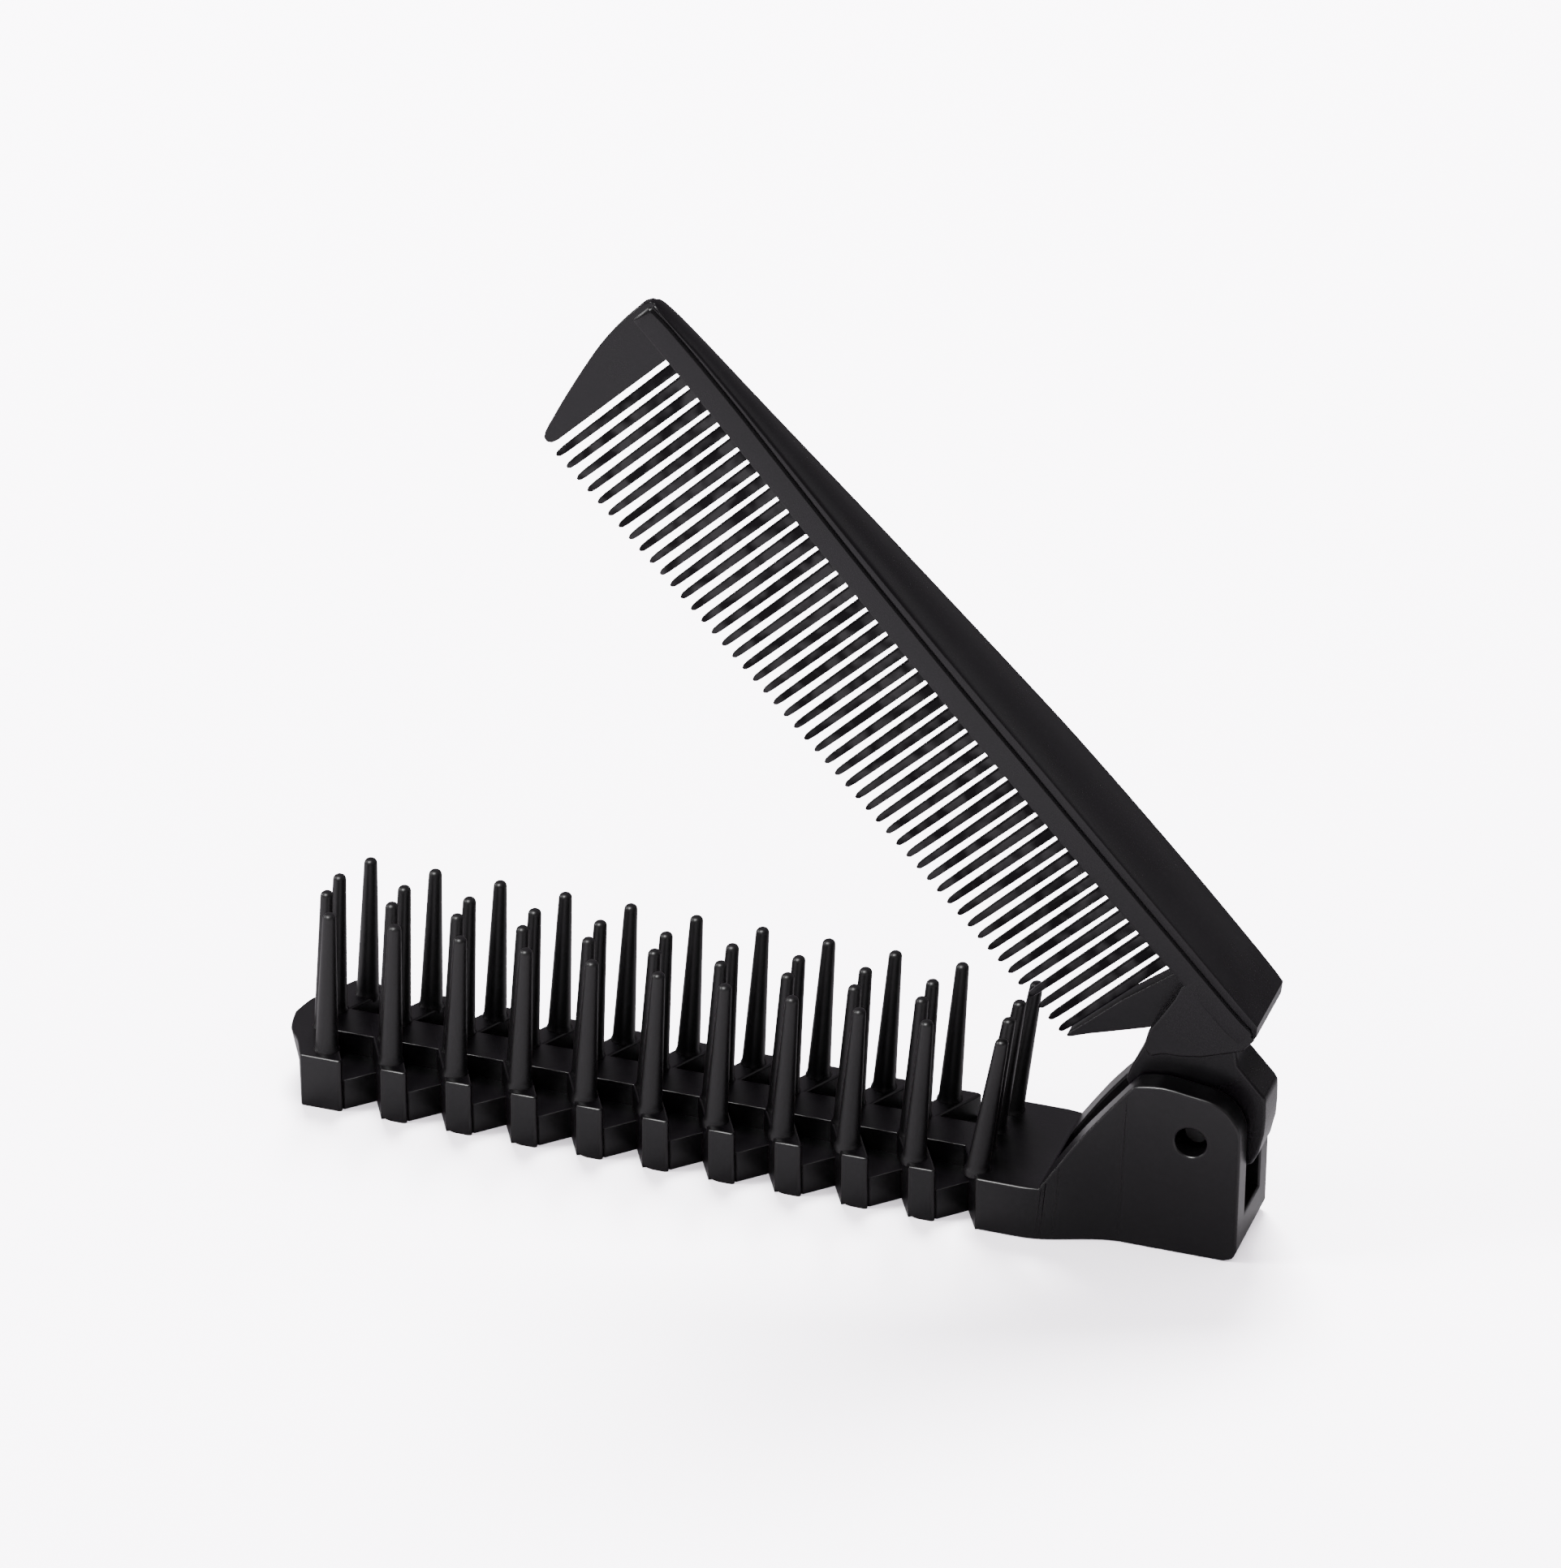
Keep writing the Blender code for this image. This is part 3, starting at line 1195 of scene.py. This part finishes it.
    def knuckle(self) -> bpy.types.Object:
        """Models the arm and the eye that turns on the hinge pin.

        Returns:
            The knuckle, with its bore.
        """
        arm = [(9.0, -13.0), (13.0, -9.0), (12.1, -2.9), (10.6, 1.2), (9.7, 3.0)]
        eye = []
        for degrees in range(50, 188, 6):
            flattened = min(1.0, max(0.0, (degrees - 110) / 40))
            radius = self.knuckle_radius - self.knuckle_flattening * flattened
            angle = math.radians(degrees)
            eye.append((radius * math.cos(angle), radius * math.sin(angle)))
        heel = [(-6.75, -1.0), (-7.05, -2.1), (-6.43, -3.68), (-4.93, -5.87), (-3.55, -7.33)]
        heel += [(-2.09, -8.69), (-1.6, -9.1), (-0.9, -9.25), (3.6, -9.34), (6.8, -11.5)]
        knuckle = self.body("knuckle", arm + eye + heel, self.knuckle_half, self.knuckle_fillet)
        cut(knuckle, rod("eye_bore", (0.0, 0.0), self.hinge.bore_radius, 8.0), Cut.OUTSIDE)
        return knuckle

    def hinge_guard(self) -> bpy.types.Object:
        """Models the guard beside the first tooth, at the hinge end.

        Returns:
            The guard.
        """
        slot_side = [(16.2, -13.4), (16.25, -12.0), (16.55, -9.0), (16.92, -5.5), (17.2, -2.5)]
        tip = [(17.42, 5.4), (17.45, 6.1), (17.2, 6.25), (16.9, 5.8)]
        back = [(16.0, 3.7), (14.8, 1.3), (13.8, -0.75), (12.9, -2.6), (11.6, -6.0), (11.6, -13.4)]
        outline = slot_side + tip + back
        return self.body("hinge_guard", outline, self.hinge_guard_half, self.hinge_guard_fillet)

    def free_guard(self) -> bpy.types.Object:
        """Models the broad guard at the free end.

        Returns:
            The guard.
        """
        slot_side = [(107.55, -13.4), (107.6, 5.6)]
        tip = [(107.75, 6.4), (108.2, 6.85), (108.8, 6.75), (109.25, 6.1)]
        outer = [(109.65, 5.1), (111.05, 1.1), (112.3, -2.9)]
        outer += [(113.4, -6.9), (114.0, -10.9), (114.2, -14.8)]
        corner = [(113.9, -15.7), (113.2, -16.1), (110.5, -16.1), (110.0, -13.4)]
        outline = slot_side + tip + curve_through(outer, 3) + corner
        return self.body("free_guard", outline, self.free_guard_half, self.free_guard_fillet)

    def build_body(self) -> bpy.types.Object:
        """Models the comb without its teeth.

        Returns:
            The comb's body, open as at rest.
        """
        back = loft("back", [self.back_section(station) for station in self.stations()])
        parts = [back, self.neck(), self.knuckle(), self.hinge_guard(), self.free_guard()]
        comb = join(parts, "comb_body")
        comb.data.transform(self.opened())
        return comb

    def tooth_pattern(self) -> bpy.types.Object:
        """Models one tooth at the hinge, flared at its root and blunt at its tip.

        Returns:
            The tooth.
        """
        flared, full = 1.7, self.root_thickness
        rows = (
            # In the band and at its ledge
            (self.ledge_v - 1.0, flared, full),
            (self.ledge_v - 0.02, flared, full),
            (self.ledge_v + 0.08, 1.48, full),
            (self.ledge_v + 0.25, 1.33, full),
            (self.ledge_v + 0.55, 1.23, full),
            # The taper
            (-9.0, self.root_width, full * 0.97),
            (-2.5, 1.03, 1.15),
            (2.5, 0.92, 1.02),
            # The tip
            (self.tooth_tip_v - 1.3, self.tip_width, self.tip_thickness),
            (self.tooth_tip_v - 0.4, self.tip_width * 0.82, self.tip_thickness * 0.8),
            (self.tooth_tip_v, self.tip_width * 0.35, self.tip_thickness * 0.35),
        )
        rings = []
        for v, width, thickness in rows:
            a, b = width / 2, thickness / 2
            quarter = [(a, b * 0.62), (a * 0.86, b * 0.9), (a * 0.5, b)]
            half = quarter + [(-du, y) for du, y in reversed(quarter)]
            shape = half + [(-du, -y) for du, y in half]
            rings.append([(-du, y, -v) for du, y in shape])
        return loft("tooth_pattern", rings)

    def build_teeth(self) -> bpy.types.Object:
        """Models the row of teeth.

        Returns:
            The teeth as one piece, open as at rest.
        """
        pattern = self.tooth_pattern()
        row = []
        for index in range(self.teeth):
            along = Vector((-(self.first_tooth_u + self.tooth_pitch * index), 0.0, 0.0)) * MM
            row.append(copy_of(pattern, "comb_tooth", self.opened() @ Matrix.Translation(along)))
        bpy.data.objects.remove(pattern, do_unlink=True)
        return join(row, "comb_teeth")

    def dress(self, body: bpy.types.Object, teeth: bpy.types.Object) -> None:
        """Shades both pieces and gives them their finishes."""
        put_finish(body, self.finish, sharp_angle=38.0)
        put_finish(teeth, self.teeth_finish, sharp_angle=38.0)


# The studio


@dataclass(frozen=True)
class SoftLight:
    """A square soft light."""

    name: str
    place: Point
    size: float
    power: float
    seen_by: SeenBy

    def hang(self, aim: Point) -> None:
        """Hangs the light.

        Args:
            aim: Where it points, in metres.
        """
        bpy.ops.object.light_add(type="AREA", location=self.place)
        lamp = bpy.context.object
        lamp.name = self.name
        lamp.data.size = self.size
        lamp.data.energy = self.power
        lamp.visible_glossy = self.seen_by is SeenBy.GLOSS
        lamp.visible_diffuse = self.seen_by is SeenBy.MATT
        lamp.rotation_euler = (Vector(aim) - Vector(self.place)).to_track_quat("-Z", "Y").to_euler()


@dataclass
class Studio:
    """The pale floor, the soft lights and the camera, in metres.

    The plastic mirrors a dimmer room than the one that lights it, as black gloss does when its white
    surroundings are overexposed. On the floor this is a painted reflection, darkest behind the object.
    """

    floor_size: float = 6.0
    floor_colour: tuple[float, float, float] = (0.90, 0.87, 0.915)
    floor_roughness: float = 0.85
    floor_spread: float = 0.1
    floor_cloud_scale: float = 6.0
    front_mirrored: float = 0.24
    rear_mirrored: float = 0.012
    fade: float = 0.12
    room_colour: tuple[float, float, float] = (1.0, 0.96, 1.0)
    room_light: float = 3.6
    room_mirrored: float = 0.33
    comb_middle: Point = (0.0, 0.0, 0.04)
    lights: tuple[SoftLight, ...] = (
        SoftLight("top_light", (-0.25, 0.75, 1.35), 0.6, 150.0, SeenBy.MATT),
        SoftLight("fill_light", (-1.1, -0.5, 0.9), 0.4, 40.0, SeenBy.MATT),
        SoftLight("edge_light", (-0.45, -0.8, 1.3), 0.6, 58.0, SeenBy.GLOSS),
        SoftLight("streak_light", (1.05, 0.8, 0.75), 0.35, 0.35, SeenBy.GLOSS),
        SoftLight("left_light", (-1.4, -0.1, 0.5), 0.4, 8.0, SeenBy.GLOSS),
    )
    lens: float = 201.3
    film_width: float = 36.0
    camera_place: Point = (0.2704, -0.8254, 0.5409)
    camera_turn: Point = (60.476, -0.538, 18.426)

    def dimmed(self, level: float) -> tuple[float, float, float, float]:
        """The floor's colour at a level, as the four numbers of a socket."""
        return (*(channel * level for channel in self.floor_colour), 1.0)

    def floor_paint(self) -> bpy.types.Material:
        """Builds the floor's paint: evenly pale to the camera, with a painted reflection that shows dimmer
        in gloss, and dimmest behind the object.

        Returns:
            The material.
        """
        material = bpy.data.materials.new("floor_paint")
        tree = FinishTree(material)
        place = tree.node("ShaderNodeTexCoord", output="Object")
        clouds = {"Vector": place, "Scale": self.floor_cloud_scale, "Detail": 2.0}
        cloud = tree.node("ShaderNodeTexNoise", {}, clouds)
        # Painted reflection: for glossy rays the floor's colour is dimmed, and dimmed further behind the
        # object
        mirrored_ray = tree.node("ShaderNodeLightPath", output="Is Glossy Ray")
        depth = tree.node("ShaderNodeSeparateXYZ", {}, {"Vector": place}, output="Y")
        fade = {"Value": depth, "From Min": -self.fade, "From Max": self.fade}
        behind = tree.node("ShaderNodeMapRange", {}, fade, output="Result")
        painted_reflection = tree.blend(behind, self.dimmed(self.front_mirrored), self.dimmed(self.rear_mirrored))
        tree.set_shader(
            Base_Color=tree.blend(mirrored_ray, self.dimmed(1.0), painted_reflection),
            Roughness=self.floor_roughness + (cloud - 0.5) * self.floor_spread,
            Specular_IOR_Level=0.0,
        )
        return material

    def floor(self) -> bpy.types.Object:
        """Lays the floor.

        Returns:
            The floor.
        """
        bpy.ops.object.select_all(action="DESELECT")
        bpy.ops.mesh.primitive_plane_add(size=self.floor_size, location=(0.0, 0.0, 0.0))
        floor = bpy.context.object
        floor.name = "studio_floor"
        floor.data.materials.append(self.floor_paint())
        return floor

    def surroundings(self) -> None:
        """Lights the scene evenly from all round."""
        world = bpy.data.worlds.new("studio_world")
        tree = FinishTree(world, "Background")
        mirrored_ray = tree.node("ShaderNodeLightPath", output="Is Glossy Ray")
        levels = {0: mirrored_ray, 2: self.room_light, 3: self.room_mirrored}
        level = tree.node("ShaderNodeMix", {}, levels)
        tree.set_shader(Color=(*self.room_colour, 1.0), Strength=level)
        bpy.context.scene.world = world

    def camera(self) -> None:
        """Sets the camera where the photograph was taken from."""
        bpy.ops.object.camera_add(location=self.camera_place)
        camera = bpy.context.object
        camera.name = "studio_camera"
        camera.rotation_euler = [math.radians(turn) for turn in self.camera_turn]
        camera.data.lens = self.lens
        camera.data.sensor_width = self.film_width
        camera.data.sensor_fit = "HORIZONTAL"
        bpy.context.scene.camera = camera

    def build(self) -> None:
        """Builds the studio."""
        self.floor()
        self.surroundings()
        for light in self.lights:
            light.hang(self.comb_middle)
        self.camera()


# Putting it together


def place_piece(piece: bpy.types.Object, body: str, nodes: Iterable[str] = ()) -> None:
    """Hands a finished piece to the frame.

    Args:
        piece: The piece.
        body: The CAD body it rides on.
        nodes: The CAD nodes that it stands for.
    """
    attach(piece, body)
    if nodes:
        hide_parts(*nodes)
    LOG.info("%s: %d faces on %s", piece.name, len(piece.data.polygons), body)


def main() -> None:
    """Builds the pieces round the frame."""
    logging.basicConfig(level=logging.INFO, format="%(message)s")
    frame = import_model()

    hinge = Hinge.of_frame(frame)
    base_plastic = MouldedPlastic("base_black").make()
    polished = MouldedPlastic("comb_black", roughness=0.28, roughness_spread=0.06, specular=0.26)
    comb_plastic = polished.make()
    teeth_plastic = MouldedPlastic("teeth_black", roughness=0.36, specular=0.06, patches=0.55).make()
    bristle_plastic = MouldedPlastic("bristle_black", roughness=0.42).make()
    pin_plastic = MouldedPlastic("pin_black", roughness=0.42).make()

    vent_base = VentBase(hinge, base_plastic)
    base = vent_base.build()
    vent_base.dress(base)
    place_piece(base, "base", ["brush_base"])

    brush_pins = BrushPins(vent_base, bristle_plastic)
    field = brush_pins.build()
    brush_pins.dress(field)
    place_piece(field, "base")

    comb = ToothedComb(hinge, comb_plastic, teeth_plastic)
    body = comb.build_body()
    teeth = comb.build_teeth()
    comb.dress(body, teeth)
    place_piece(body, "comb_arm", ["comb"])
    place_piece(teeth, "comb_arm")

    hinge_pin = HingePin(hinge, pin_plastic)
    pin = hinge_pin.build()
    hinge_pin.dress(pin)
    place_piece(pin, "base", ["hinge_pin"])

    Studio().build()


if __name__ == "__main__":
    main()
